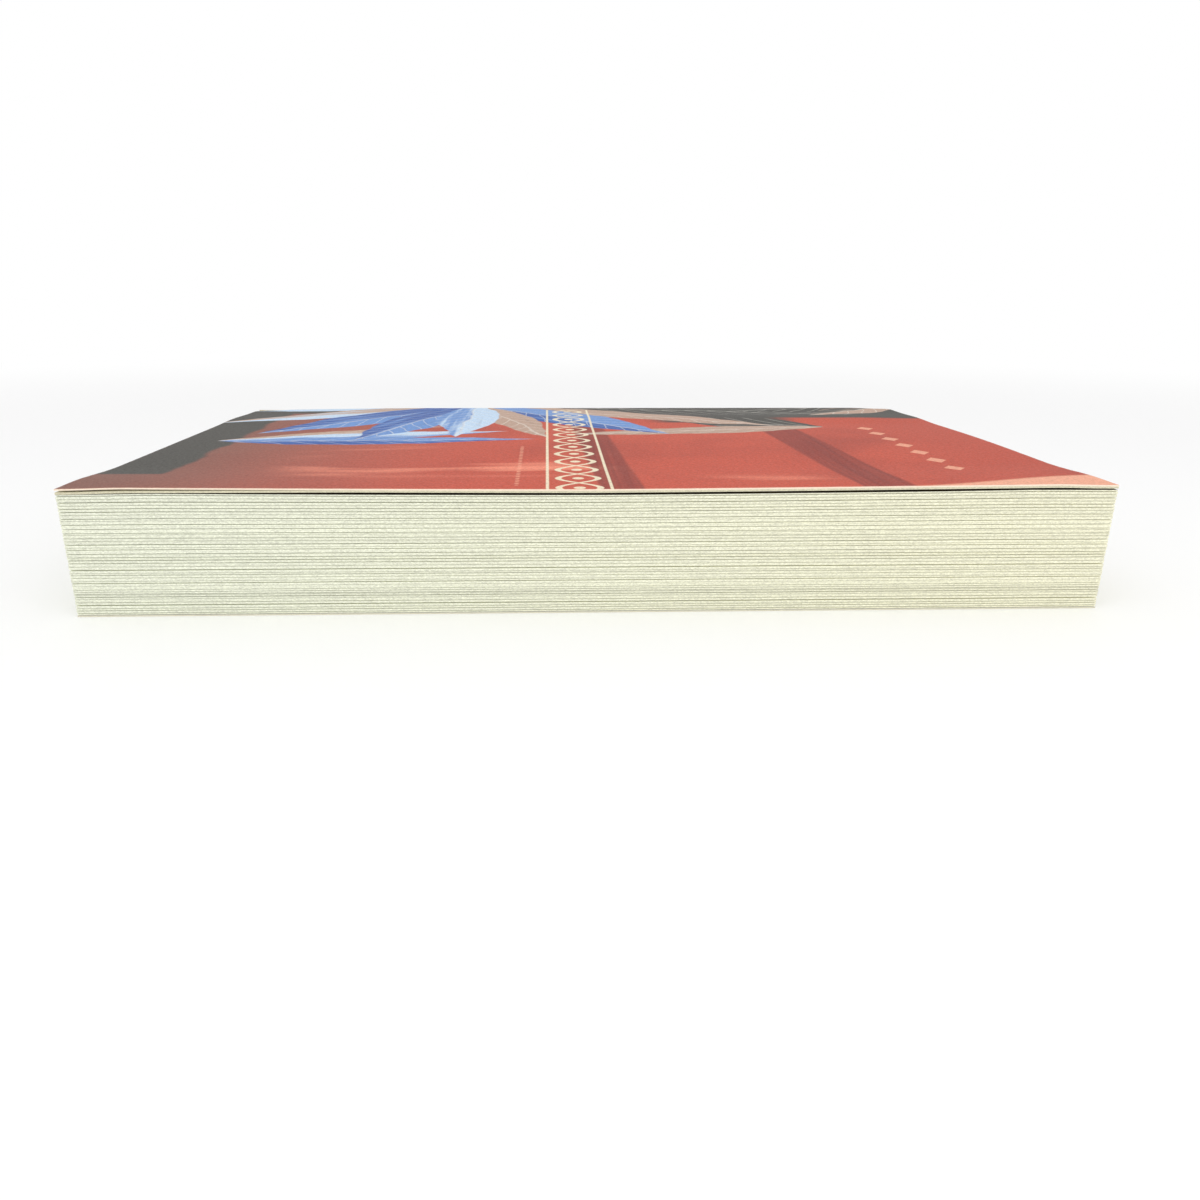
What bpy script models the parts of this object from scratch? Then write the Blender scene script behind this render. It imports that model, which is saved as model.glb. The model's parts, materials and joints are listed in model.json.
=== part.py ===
"""A paperback book that lies closed on its back cover, made the way a bindery makes it.

The leaves are one glued block. The card cover folds round the block at the spine, where it is glued
fast, and its front and back turn on scored creases a few millimetres from the spine.
X runs along the spine from the tail to the head, Y from the fore-edge to the spine, and Z up.
The origin lies under the middle of the book, on the surface that it rests on. Lengths are in metres.
"""

import math
import random

import bmesh
import bpy
from mathutils import Matrix, Vector

BOOK_NAME = "paperback_book"

# The trimmed book
BOOK_HEIGHT = 0.2159
BOOK_WIDTH = 0.1397
BLOCK_THICKNESS = 0.0249
SPINE_SWELL = 0.0007

# The cover card and the glue behind it
CARD = 0.0003
GLUE_THICKNESS = 0.0006
SEAT_GAP = 0.0003
FOLD_RADIUS = 0.0006
FOLD_SEGMENTS = 4

# The scored creases that the covers turn on
HINGE_STRIP = 0.006
CREASE_GAP = 0.0003
PIVOT_RISE = 0.0002

# How the front cover has lifted off the leaves with use
CORNER_LIFT = 0.0007
CORNER_REACH = 0.030
CREASE_HUMP = 0.0006
HUMP_REACH = 0.040
HEAD_BOW = 0.0005
FLAT_RUN = 0.007
COVER_CELLS_ALONG = 28
COVER_CELLS_ACROSS = 18

# The leaves, which part into bundles at their cut edges
LEAF_THICKNESS = 0.000145
LEAST_LEAVES = 2
MOST_LEAVES = 6
BUNDLE_SEED = 7
PARTING_LEAF_SHARE = 0.7
PARTING_DEPTH = 0.00012
WIDE_PARTING_DEPTH = 0.00040
WIDE_PARTING_SHARES = (0.08, 0.17, 0.27, 0.32, 0.39, 0.47, 0.52, 0.60, 0.69, 0.87)

# The slit under the first leaves, which have risen with the front cover
FIRST_LEAVES = 3
FIRST_LEAF_CELLS = 18
SLIT_HEIGHT = 0.0003
SLIT_DEPTH = 0.012

# Places that the pieces share
FORE_Y = -BOOK_WIDTH / 2
SPINE_Y = BOOK_WIDTH / 2
GLUE_BACK_Y = SPINE_Y - CARD - SEAT_GAP
BLOCK_BACK_Y = GLUE_BACK_Y - GLUE_THICKNESS - SEAT_GAP
CREASE_Y = SPINE_Y - HINGE_STRIP
PANEL_BACK_Y = CREASE_Y - CREASE_GAP / 2
STRIP_FRONT_Y = CREASE_Y + CREASE_GAP / 2
BLOCK_BOTTOM = CARD + SEAT_GAP

PAPER = {"name": "book_paper", "colour": (0.79, 0.78, 0.60), "roughness": 0.9}
GLUE = {"name": "binding_glue", "colour": (0.78, 0.70, 0.50), "roughness": 0.45}
FRONT_PRINT = {"name": "front_cover_print", "colour": (0.60, 0.16, 0.12), "roughness": 0.38}
SPINE_PRINT = {"name": "spine_print", "colour": (0.12, 0.12, 0.11), "roughness": 0.38}
BACK_PRINT = {"name": "back_cover_print", "colour": (0.52, 0.14, 0.11), "roughness": 0.38}


def block_thickness_at(y):
    """The leaves grow from the fore-edge to the spine, where the glue has thickened them."""
    return BLOCK_THICKNESS + SPINE_SWELL * (y - FORE_Y) / (BLOCK_BACK_Y - FORE_Y)


def front_height_at(y):
    """Height of the printed side of the front cover, where it lies close on the leaves."""
    return BLOCK_BOTTOM + block_thickness_at(y) + SEAT_GAP + CARD


def smooth_share(value):
    """A share from 0 to 1 that starts and ends without a kink."""
    held = min(max(value, 0.0), 1.0)
    return held * held * (3 - 2 * held)


def cover_lift_at(x, y):
    """How far the front cover stands off its resting plane at a point of the book."""
    along = 2 * x / BOOK_HEIGHT
    by_fore_edge = smooth_share(1 - (y - FORE_Y) / CORNER_REACH)
    corners = CORNER_LIFT * along * along * by_fore_edge

    past_flat = (CREASE_Y - FLAT_RUN - y) / (HUMP_REACH - FLAT_RUN)
    hump = CREASE_HUMP * math.sin(math.pi * smooth_share(past_flat))

    across = (y - FORE_Y) / (CREASE_Y - FLAT_RUN - FORE_Y)
    toward_head = smooth_share((1 + along) / 2)
    bow = HEAD_BOW * toward_head * math.sin(math.pi * smooth_share(across))
    return corners + hump + bow


def bundle_levels():
    """Heights in the block at which one bundle of leaves parts from the next."""
    chance = random.Random(BUNDLE_SEED)
    leaf_count = round((BLOCK_THICKNESS - SLIT_HEIGHT) / LEAF_THICKNESS) - FIRST_LEAVES
    levels = []
    leaves_below = chance.randint(LEAST_LEAVES, MOST_LEAVES)
    while leaves_below < leaf_count - LEAST_LEAVES:
        levels.append(leaves_below * LEAF_THICKNESS)
        leaves_below += chance.randint(LEAST_LEAVES, MOST_LEAVES)
    return levels


def nearest_levels(levels, shares):
    """The levels that lie closest to these shares of the block's thickness."""
    return {min(levels, key=lambda level: abs(level - share * BLOCK_THICKNESS)) for share in shares}


def height_in_block(level, y):
    """Height of a level of the block, counted up at the fore-edge, at a distance from the spine."""
    return BLOCK_BOTTOM + level * block_thickness_at(y) / BLOCK_THICKNESS


def place_corners(face, level, drawn_in):
    """Sets a face of the block across it at a level, drawn in on the three sides that were cut."""
    for corner in face.verts:
        side = math.copysign(1, corner.co.x)
        corner.co.x = side * (BOOK_HEIGHT / 2 - drawn_in)
        corner.co.y = BLOCK_BACK_Y if corner.co.y > 0 else FORE_Y + drawn_in
        corner.co.z = height_in_block(level, corner.co.y)


def raise_top(shape, top, level, drawn_in):
    """Pulls the block's top face up to a new level and returns it."""
    grown = bmesh.ops.extrude_face_region(shape, geom=[top])
    bmesh.ops.delete(shape, geom=[top], context="FACES_ONLY")
    new_top = next(item for item in grown["geom"] if isinstance(item, bmesh.types.BMFace))
    place_corners(new_top, level, drawn_in)
    return new_top


def model_leaves(shape):
    """One solid whose cut sides show where the leaves part, made by pulling a box up level by level."""
    bmesh.ops.create_cube(shape, size=1)
    by_height = sorted(shape.faces, key=lambda face: face.calc_center_median().z)
    bottom, top = by_height[0], by_height[-1]
    levels = bundle_levels()
    wide = nearest_levels(levels, WIDE_PARTING_SHARES)
    half_parting = PARTING_LEAF_SHARE * LEAF_THICKNESS / 2

    place_corners(bottom, 0, 0)
    place_corners(top, levels[0] - half_parting, 0)
    for number, level in enumerate(levels):
        depth = WIDE_PARTING_DEPTH if level in wide else PARTING_DEPTH
        if number:
            top = raise_top(shape, top, level - half_parting, 0)
        top = raise_top(shape, top, level, depth)
        top = raise_top(shape, top, level + half_parting, 0)

    slit_top = BLOCK_THICKNESS - FIRST_LEAVES * LEAF_THICKNESS
    slit_bottom = slit_top - SLIT_HEIGHT
    top = raise_top(shape, top, slit_bottom, 0)
    top = raise_top(shape, top, slit_bottom, SLIT_DEPTH)
    top = raise_top(shape, top, slit_top, SLIT_DEPTH)
    top = raise_top(shape, top, slit_top, 0)
    raise_first_leaves(shape, top)


def raise_first_leaves(shape, top):
    """Ends the block with the leaves above the slit, which have risen with the front cover."""
    walls = {face for face in shape.faces if face is not top}
    bmesh.ops.subdivide_edges(
        shape, edges=top.edges[:], cuts=FIRST_LEAF_CELLS - 1, use_grid_fill=True
    )
    shape.normal_update()
    underside = {face for face in shape.faces if face not in walls and face.normal.z > 0}
    points = {point for face in underside for point in face.verts}
    rim = [point for point in points if not underside.issuperset(point.link_faces)]

    grown = bmesh.ops.extrude_face_region(shape, geom=list(underside))
    bmesh.ops.delete(shape, geom=list(underside), context="FACES")
    upper = [item for item in grown["geom"] if isinstance(item, bmesh.types.BMVert)]
    for point in upper:
        point.co.z = height_in_block(BLOCK_THICKNESS, point.co.y)
    for point in rim + upper:
        point.co.z += cover_lift_at(point.co.x, point.co.y)


def model_glue(shape):
    """The layer that binds the backs of the leaves to the spine of the cover."""
    height = block_thickness_at(BLOCK_BACK_Y)
    size = Vector((BOOK_HEIGHT, GLUE_THICKNESS, height))
    middle = Vector((0, GLUE_BACK_Y - GLUE_THICKNESS / 2, BLOCK_BOTTOM + height / 2))
    bmesh.ops.create_cube(shape, size=1, matrix=Matrix.LocRotScale(middle, None, size))


def model_spine(shape):
    """The outer side of the card from crease to crease round the spine, before it has a thickness."""
    profile = [
        (STRIP_FRONT_Y, front_height_at(STRIP_FRONT_Y)),
        (SPINE_Y, front_height_at(SPINE_Y)),
        (SPINE_Y, 0),
        (STRIP_FRONT_Y, 0),
    ]
    points = [shape.verts.new((-BOOK_HEIGHT / 2, y, z)) for y, z in profile]
    edges = [shape.edges.new(pair) for pair in zip(points, points[1:])]
    swept = bmesh.ops.extrude_edge_only(shape, edges=edges)
    moved = [item for item in swept["geom"] if isinstance(item, bmesh.types.BMVert)]
    bmesh.ops.translate(shape, verts=moved, vec=(BOOK_HEIGHT, 0, 0))
    face_away_from(shape, Vector((0, BLOCK_BACK_Y, BLOCK_BOTTOM + BLOCK_THICKNESS / 2)))


def face_away_from(shape, inside):
    """Turns every face of an open sheet so that its outer side looks away from a point within."""
    shape.normal_update()
    turned = [face for face in shape.faces if face.normal.dot(face.calc_center_median() - inside) < 0]
    bmesh.ops.reverse_faces(shape, faces=turned)


def spread_panel(shape, cells_along, cells_across):
    """A flat sheet of card from the fore-edge to a crease."""
    depth = PANEL_BACK_Y - FORE_Y
    size = Vector((BOOK_HEIGHT, depth, 1))
    middle = Vector((0, FORE_Y + depth / 2, 0))
    bmesh.ops.create_grid(
        shape,
        x_segments=cells_along,
        y_segments=cells_across,
        size=1 / 2,
        matrix=Matrix.LocRotScale(middle, None, size),
    )


def model_front_cover(shape):
    """The printed side of the front cover, lying on the leaves and lifted where use has bent it."""
    spread_panel(shape, COVER_CELLS_ALONG, COVER_CELLS_ACROSS)
    for point in shape.verts:
        point.co.z = front_height_at(point.co.y) + cover_lift_at(point.co.x, point.co.y)


def model_back_cover(shape):
    """The outer side of the back cover, flat on the surface that the book rests on."""
    spread_panel(shape, 1, 1)
    bmesh.ops.reverse_faces(shape, faces=shape.faces[:])


def make_material(finish):
    material = bpy.data.materials.new(finish["name"])
    material.use_nodes = True
    shader = material.node_tree.nodes["Principled BSDF"]
    shader.inputs["Base Color"].default_value = (*finish["colour"], 1)
    shader.inputs["Roughness"].default_value = finish["roughness"]
    shader.inputs["Metallic"].default_value = 0
    return material


def add_piece(name, model, finish, place, parent, collection):
    """Models a piece where it lies in the book, with its own origin at a place."""
    mesh = bpy.data.meshes.new(name)
    shape = bmesh.new()
    model(shape)
    shape.to_mesh(mesh)
    shape.free()
    mesh.transform(Matrix.Translation(-place))
    mesh.materials.append(make_material(finish))
    piece = bpy.data.objects.new(name, mesh)
    collection.objects.link(piece)
    piece.location = place
    piece.parent = parent
    return piece


def give_card_thickness(piece):
    """Grows the outer side of a sheet inwards to the thickness of the card."""
    card = piece.modifiers.new("card", "SOLIDIFY")
    card.thickness = CARD
    card.offset = -1
    card.use_even_offset = True


def round_folds(piece):
    folds = piece.modifiers.new("folds", "BEVEL")
    folds.width = FOLD_RADIUS
    folds.segments = FOLD_SEGMENTS
    folds.limit_method = "ANGLE"
    folds.angle_limit = math.radians(45)


def shade_smooth(piece):
    piece.data.shade_smooth()
    piece.data.set_sharp_from_angle(angle=math.radians(35))


def clear_scene():
    for thing in list(bpy.data.objects):
        bpy.data.objects.remove(thing)


def build_book():
    clear_scene()
    collection = bpy.data.collections.new(BOOK_NAME)
    bpy.context.scene.collection.children.link(collection)
    book = bpy.data.objects.new(BOOK_NAME, None)
    collection.objects.link(book)

    at_origin = Vector((0, 0, 0))
    front_hinge = Vector((0, CREASE_Y, front_height_at(CREASE_Y) + PIVOT_RISE))
    back_hinge = Vector((0, CREASE_Y, -PIVOT_RISE))

    add_piece("page_block", model_leaves, PAPER, at_origin, book, collection)
    add_piece("spine_glue", model_glue, GLUE, at_origin, book, collection)

    spine = add_piece("cover_spine", model_spine, SPINE_PRINT, at_origin, book, collection)
    round_folds(spine)
    give_card_thickness(spine)

    front = add_piece("front_cover", model_front_cover, FRONT_PRINT, front_hinge, book, collection)
    give_card_thickness(front)
    shade_smooth(front)

    back = add_piece("back_cover", model_back_cover, BACK_PRINT, back_hinge, book, collection)
    give_card_thickness(back)


build_book()
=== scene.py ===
"""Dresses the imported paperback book: its leaves, the glue, the printed card cover, and a plain studio.

The cover is one printed sheet. Each point of the card keeps its place on that sheet laid flat, as the
attribute "sheet_place": X along the spine, and Y across the sheet, from the fore-edge of the front over
the spine to the fore-edge of the back. So the pattern runs on over the folds and bends with the card.
Lengths are in metres.
"""

import json
import math
import random

import bmesh
import bpy
from bpy.props import FloatProperty, FloatVectorProperty, IntProperty, PointerProperty
from mathutils import Matrix, Vector, noise
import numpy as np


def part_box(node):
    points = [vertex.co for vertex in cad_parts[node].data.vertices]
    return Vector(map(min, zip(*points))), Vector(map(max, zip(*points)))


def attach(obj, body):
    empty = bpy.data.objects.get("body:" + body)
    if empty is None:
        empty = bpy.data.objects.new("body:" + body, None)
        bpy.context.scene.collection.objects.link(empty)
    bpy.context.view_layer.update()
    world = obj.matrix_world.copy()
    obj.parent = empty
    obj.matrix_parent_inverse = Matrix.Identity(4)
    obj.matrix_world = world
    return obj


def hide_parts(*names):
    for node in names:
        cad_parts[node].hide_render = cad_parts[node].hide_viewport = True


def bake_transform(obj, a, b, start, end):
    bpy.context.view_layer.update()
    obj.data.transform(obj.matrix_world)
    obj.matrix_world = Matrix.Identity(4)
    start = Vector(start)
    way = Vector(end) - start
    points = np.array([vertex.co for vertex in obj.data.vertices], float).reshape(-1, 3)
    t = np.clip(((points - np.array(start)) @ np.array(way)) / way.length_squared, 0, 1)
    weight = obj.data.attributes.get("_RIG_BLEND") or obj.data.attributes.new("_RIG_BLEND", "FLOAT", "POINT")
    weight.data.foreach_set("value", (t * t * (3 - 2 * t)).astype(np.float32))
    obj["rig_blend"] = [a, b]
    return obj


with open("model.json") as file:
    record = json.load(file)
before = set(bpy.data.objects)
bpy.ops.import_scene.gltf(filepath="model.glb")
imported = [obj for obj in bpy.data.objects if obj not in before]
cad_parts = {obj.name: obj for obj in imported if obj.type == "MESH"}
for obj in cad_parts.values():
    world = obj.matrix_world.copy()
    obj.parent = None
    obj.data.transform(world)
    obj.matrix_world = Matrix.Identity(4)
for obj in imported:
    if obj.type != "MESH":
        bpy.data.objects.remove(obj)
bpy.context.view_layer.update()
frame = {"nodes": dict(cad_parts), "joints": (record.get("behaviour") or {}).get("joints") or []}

bl_info = {
    "name": "Paperback book",
    "version": (1, 0, 0),
    "blender": (4, 5, 0),
    "location": "3D View > Sidebar > Paperback",
    "description": "Makes a used paperback book from its packed solids",
    "category": "Add Mesh",
}

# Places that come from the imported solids
BLOCK_LOW, BLOCK_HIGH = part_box("page_block")
PANEL_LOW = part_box("front_cover")[0]
SPINE_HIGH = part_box("cover_spine")[1]
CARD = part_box("back_cover")[1].z
HINGES = {joint["name"]: Vector(joint["pos_m"]) for joint in frame["joints"]}
HALF_LENGTH = BLOCK_HIGH.x
FORE_Y = BLOCK_LOW.y
SPINE_Y = SPINE_HIGH.y
CREASE_Y = HINGES["front_cover_hinge"].y
PIVOT_RISE = -HINGES["back_cover_hinge"].z
CREASE_TOP = HINGES["front_cover_hinge"].z - PIVOT_RISE
FORE_TOP = PANEL_LOW.z + CARD
GLUE_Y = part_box("spine_glue")[0].y

# Attributes that the materials read: the place on the flat sheet, a leaf's tone, and 1 on leaves by the slit,
# whose faces there get painted shade
SHEET_PLACE = "sheet_place"
LEAF_TONE = "leaf_tone"
IN_SLIT = "in_slit"


def ink(red, green, blue):
    """A colour as a screen shows it, in steps of 255, in the linear values that Blender works with."""
    steps = (red / 255, green / 255, blue / 255)
    return tuple(s / 12.92 if s <= 0.04045 else ((s + 0.055) / 1.055) ** 2.4 for s in steps)


def length(name, description, default):
    """A length in metres."""
    return FloatProperty(name=name, description=description, default=default, unit="LENGTH", precision=5)


def colour(name, description, *steps):
    """A colour, given in steps of 255."""
    return FloatVectorProperty(
        name=name, description=description, default=ink(*steps), subtype="COLOR", min=0, max=1
    )


def power(name, description, default):
    """The power of a lamp in watts."""
    return FloatProperty(name=name, description=description, default=default, unit="POWER")


class PAPERBACK_PG_leaves(bpy.types.PropertyGroup):
    """The leaves, and how they have parted with use."""

    count: IntProperty(name="Leaves", description="Leaves below the slit", default=167, min=2)
    first_count: IntProperty(name="First leaves", description="Leaves risen with the cover", default=3)
    slit: length("Slit", "Gap under the first leaves at the fore-edge", 0.00048)
    head_close: length("Head close", "How much narrower the slit is at the head's corner", 0.00018)
    closest: length("Closest", "Least gap between two leaves", 0.000003)
    close: length("Close", "Most gap between two leaves of one bundle", 0.000014)
    parted: length("Parted", "Usual gap between two bundles", 0.000096)
    wide: length("Wide", "Gap between two bundles that have parted clearly", 0.000148)
    uneven: length("Uneven", "How far the cut edges stand back from each other", 0.00007)
    wave: length("Wave", "How far a leaf's edge wanders up and down", 0.000010)
    wave_length: length("Wave length", "Distance from one rise of an edge to the next", 0.060)
    tail_gap: length("Tail gap", "Gap over the first leaves at the tail's corner", 0.00040)
    cool: colour("Cool paper", "Cut edges toward the tail", 231, 233, 215)
    warm: colour("Warm paper", "Cut edges toward the head", 234, 232, 208)
    # The first leaves' colour is darker than the cut edges below the slit: painted shade from under the
    # cover's edge
    first: colour("First paper", "The first leaves, which have aged warmer", 213, 207, 180)


class PAPERBACK_PG_cover(bpy.types.PropertyGroup):
    """The card cover's folds, and how it has lifted off the leaves with use."""

    cell: length("Cell", "Size of the cells that the card is modelled in", 0.0025)
    fold_radius: length("Fold radius", "Outer radius of the folds at the spine", 0.0010)
    bend_run: length("Bend run", "Width of the crease that a cover turns on", 0.0012)
    fore_lift: length("Fore lift", "Rise of the whole fore-edge", 0.00030)
    corner_lift: length("Corner lift", "Further rise of the fore-edge toward the free corners", 0.00080)
    corner_reach: length("Corner reach", "How far in the fore-edge rises", 0.030)
    tip_droop: length("Tip droop", "How far the tips of the free corners bend down again", 0.00035)
    tip_reach: length("Tip reach", "How far from a tip it bends down", 0.014)
    crease_hump: length("Crease hump", "Rise of the cover beside its crease", 0.0006)
    hump_reach: length("Hump reach", "How far from the crease the hump ends", 0.040)
    flat_run: length("Flat run", "Flat width between crease and hump", 0.007)
    hump_fade: length("Hump fade", "How far from the head's end the hump grows lower", 0.022)
    head_bow: length("Head bow", "Rise of the cover's middle at the head", 0.0005)
    tail_drop: length("Tail drop", "How far the corner at the spine and the tail is pressed down", 0.0005)
    tail_reach: length("Tail reach", "How far along the spine that corner is pressed down", 0.055)
    drop_depth: length("Drop depth", "How far across the cover that corner is pressed down", 0.034)
    fold_drop: length("Fold drop", "How far the ends of the upper fold are pressed down", 0.0004)
    fold_reach: length("Fold reach", "How far along the fold its ends are pressed down", 0.014)
    board: colour("Board", "Unprinted side of the card", 238, 236, 228)
    cut_edge: colour("Cut edge", "Cut edge of the front card", 245, 226, 205)
    # Grey cut edges of the back card and the spine: a neutral card colour, darkened as painted shadow along
    # the book's bottom edge on the floor
    grey_shadow_edge: colour("Soiled edge", "Cut edge of the back card and the spine", 212, 208, 188)


class PAPERBACK_PG_print(bpy.types.PropertyGroup):
    """The inks of the cover's pattern."""

    ground: colour("Ground", "Main colour of the cover", 198, 86, 65)
    dull_ground: colour("Dull ground", "The ground toward the tail", 134, 94, 82)
    streak: colour("Streak", "Light streaks in the ground", 246, 152, 124)
    stripe: colour("Stripe", "Dark stripes across the ground", 124, 52, 46)
    peach: colour("Peach", "Strip at the free corner by the head", 244, 178, 148)
    dark: colour("Dark", "Field beside the tail and on the spine", 80, 78, 73)
    deep_blue: colour("Deep blue", "Darkest blue of the pattern", 62, 96, 166)
    mid_blue: colour("Middle blue", "Middle blue of the pattern", 112, 150, 208)
    pale_blue: colour("Pale blue", "Lightest blue of the pattern", 196, 218, 240)
    beige: colour("Beige", "Warm grey of the pattern", 190, 160, 142)
    cream: colour("Cream", "Ornaments", 242, 230, 200)


class PAPERBACK_PG_stage(bpy.types.PropertyGroup):
    """The studio."""

    floor: colour("Floor", "Colour of the floor", 252, 252, 252)
    sky_level: FloatProperty(name="Sky level", description="Light from all round", default=0.87)
    key_power: power("Key power", "Power of the lamp on the left", 1.7)
    fill_power: power("Fill power", "Power of the lamp on the right", 2.4)
    floor_drop: length("Floor drop", "Fall of the floor from fore-edge to crease", 0.0008)


# How high the cover lies. The fore-edge rises with this power of the distance from its middle, and the
# hump beside the crease keeps these shares of its height at the two ends.

LIFT_POWER = 1.3
TAIL_HUMP_SHARE = 0.25
HEAD_HUMP_SHARE = 0.45
BEND_STEPS = 8


def smooth_share(value):
    """A share from 0 to 1 that starts and ends without a kink."""
    held = min(max(value, 0.0), 1.0)
    return held * held * (3 - 2 * held)


def rest_height(y):
    """Height of the front cover's printed side where it lies close on the leaves."""
    return FORE_TOP + (CREASE_TOP - FORE_TOP) * (y - FORE_Y) / (CREASE_Y - FORE_Y)


def rise_at(x, y, cover):
    """How far the front cover has lifted off its resting plane at a point of the book."""
    along = x / HALF_LENGTH
    by_fore_edge = smooth_share(1 - (y - FORE_Y) / cover.corner_reach)
    corners = (cover.fore_lift + cover.corner_lift * abs(along) ** LIFT_POWER) * by_fore_edge
    from_tip = math.hypot(HALF_LENGTH - abs(x), y - FORE_Y)
    corners -= cover.tip_droop * smooth_share(1 - from_tip / cover.tip_reach)

    past_flat = (CREASE_Y - cover.flat_run - y) / (cover.hump_reach - cover.flat_run)
    hump = cover.crease_hump * math.sin(math.pi * smooth_share(past_flat))
    hump *= TAIL_HUMP_SHARE + (1 - TAIL_HUMP_SHARE) * smooth_share((1 + along) / 2)
    hump *= 1 - (1 - HEAD_HUMP_SHARE) * smooth_share(1 - (HALF_LENGTH - x) / cover.hump_fade)

    across = (y - FORE_Y) / (CREASE_Y - cover.flat_run - FORE_Y)
    bow = cover.head_bow * smooth_share((1 + along) / 2) * math.sin(math.pi * smooth_share(across))
    return corners + hump + bow


def drop_at(x, y, cover):
    """How far the book has been pressed down by the spine: at the tail's corner, and at the fold's ends."""
    by_tail = smooth_share(1 - (HALF_LENGTH + x) / cover.tail_reach)
    by_spine = smooth_share(1 - (SPINE_Y - y) / cover.drop_depth)
    by_end = smooth_share(1 - (HALF_LENGTH - abs(x)) / cover.fold_reach)
    by_fold = smooth_share(1 - (SPINE_Y - y) / (SPINE_Y - CREASE_Y))
    return cover.tail_drop * by_tail * by_spine + cover.fold_drop * by_end * by_fold


def spaced(start, end, step):
    """Even places from start to end, no further apart than a step."""
    count = max(1, math.ceil(abs(end - start) / step))
    return [start + (end - start) * number / count for number in range(count + 1)]


# Meshes


def close_sheet(shape, outer, inner, places=None, values=None, slots=(0, 1, 2)):
    """Adds a thin closed sheet, from two grids of points that lie over each other."""
    place_layer = shape.verts.layers.float_vector.get(SHEET_PLACE)
    value_layers = {shape.verts.layers.float[name]: value for name, value in (values or {}).items()}
    skins = []
    for grid in (outer, inner):
        skin = [[shape.verts.new(point) for point in row] for row in grid]
        for row_number, row in enumerate(skin):
            for number, vertex in enumerate(row):
                if place_layer:
                    vertex[place_layer] = places[row_number][number]
                for layer, value in value_layers.items():
                    vertex[layer] = value
        skins.append(skin)

    made = []
    rows, columns = len(outer), len(outer[0])
    for skin, slot in zip(skins, slots):
        for i in range(rows - 1):
            for j in range(columns - 1):
                corners = (skin[i][j], skin[i][j + 1], skin[i + 1][j + 1], skin[i + 1][j])
                made.append((shape.faces.new(corners), slot, True))
    ring = [(0, j) for j in range(columns - 1)]
    ring += [(i, columns - 1) for i in range(rows - 1)]
    ring += [(rows - 1, j) for j in range(columns - 1, 0, -1)]
    ring += [(i, 0) for i in range(rows - 1, 0, -1)]
    for here, there in zip(ring, ring[1:] + ring[:1]):
        corners = [skins[0][here[0]][here[1]], skins[0][there[0]][there[1]]]
        corners += [skins[1][there[0]][there[1]], skins[1][here[0]][here[1]]]
        made.append((shape.faces.new(corners), slots[2], False))
    for face, slot, smooth in made:
        face.material_index = slot
        face.smooth = smooth


def finish_mesh(name, shape, materials):
    """Turns the shape's faces outwards and makes it an object."""
    bmesh.ops.recalc_face_normals(shape, faces=shape.faces[:])
    for edge in shape.edges:
        if len({face.smooth for face in edge.link_faces}) > 1:
            edge.smooth = False
    mesh = bpy.data.meshes.new(name)
    shape.to_mesh(mesh)
    shape.free()
    for material in materials:
        mesh.materials.append(material)
    piece = bpy.data.objects.new(name, mesh)
    bpy.context.scene.collection.objects.link(piece)
    return piece


def make_panel(name, lines, height, side, sheet_y, materials):
    """A sheet of card over the book's length. Side is 1 for card that grows down and -1 for up."""
    shape = bmesh.new()
    shape.verts.layers.float_vector.new(SHEET_PLACE)
    columns = spaced(-HALF_LENGTH, HALF_LENGTH, bpy.context.scene.paperback_cover.cell)
    outer = [[(x, y, height(x, y)) for x in columns] for y in lines]
    inner = [[(x, y, z - side * CARD) for x, y, z in row] for row in outer]
    places = [[(x, sheet_y(y), 0) for x in columns] for y in lines]
    close_sheet(shape, outer, inner, places)
    return finish_mesh(name, shape, materials)


def crease_lines(cover):
    """Places across a cover, closer together in the crease, from the crease to the fore-edge."""
    bend_end = CREASE_Y - cover.bend_run
    return spaced(CREASE_Y, bend_end, cover.bend_run / BEND_STEPS)[:-1] + spaced(bend_end, FORE_Y, cover.cell)


def spine_path(cover):
    """Points of the card's outer side round the spine and the direction that each looks in, in Y and Z."""
    top = rest_height(SPINE_Y)
    radius = cover.fold_radius
    path = []
    for y in spaced(CREASE_Y, SPINE_Y - radius, cover.cell):
        path.append((Vector((y, rest_height(y))), Vector((0, 1))))
    turns = [math.radians(90 * step / BEND_STEPS) for step in range(1, BEND_STEPS + 1)]
    for turn in turns:
        way = Vector((math.sin(turn), math.cos(turn)))
        path.append((Vector((SPINE_Y - radius, top - radius)) + way * radius, way))
    for z in spaced(top - radius, radius, cover.cell)[1:]:
        path.append((Vector((SPINE_Y, z)), Vector((1, 0))))
    for turn in turns:
        way = Vector((math.cos(turn), -math.sin(turn)))
        path.append((Vector((SPINE_Y - radius, radius)) + way * radius, way))
    for y in spaced(SPINE_Y - radius, CREASE_Y, cover.cell)[1:]:
        path.append((Vector((y, 0)), Vector((0, -1))))
    return path


def sheet_distances(path):
    """How far each point of the spine's path lies across the flat sheet."""
    distances = [CREASE_Y]
    for (here, _), (there, _) in zip(path, path[1:]):
        distances.append(distances[-1] + (there - here).length)
    return distances


# Leaves


# Where bundles have parted clearly, as shares of the leaves from the back cover up, and how wide each
# such gap is next to the setting
WIDE_GAPS = (
    (0.01, 0.8),
    (0.08, 1.5),
    (0.174, 0.7),
    (0.27, 1.0),
    (0.385, 1.4),
    (0.47, 0.9),
    (0.52, 0.9),
    (0.60, 1.1),
    (0.693, 0.7),
    (0.87, 0.9),
    (0.94, 1.0),
)

# The other gaps: how their widths range next to the setting, and how many leaves lie between two of them
PARTED_RANGE = (0.6, 1.35)
LEAVES_AFTER_WIDE = (3, 6)
LEAVES_IN_BUNDLE = (3, 4, 4, 5, 5, 6)

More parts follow.
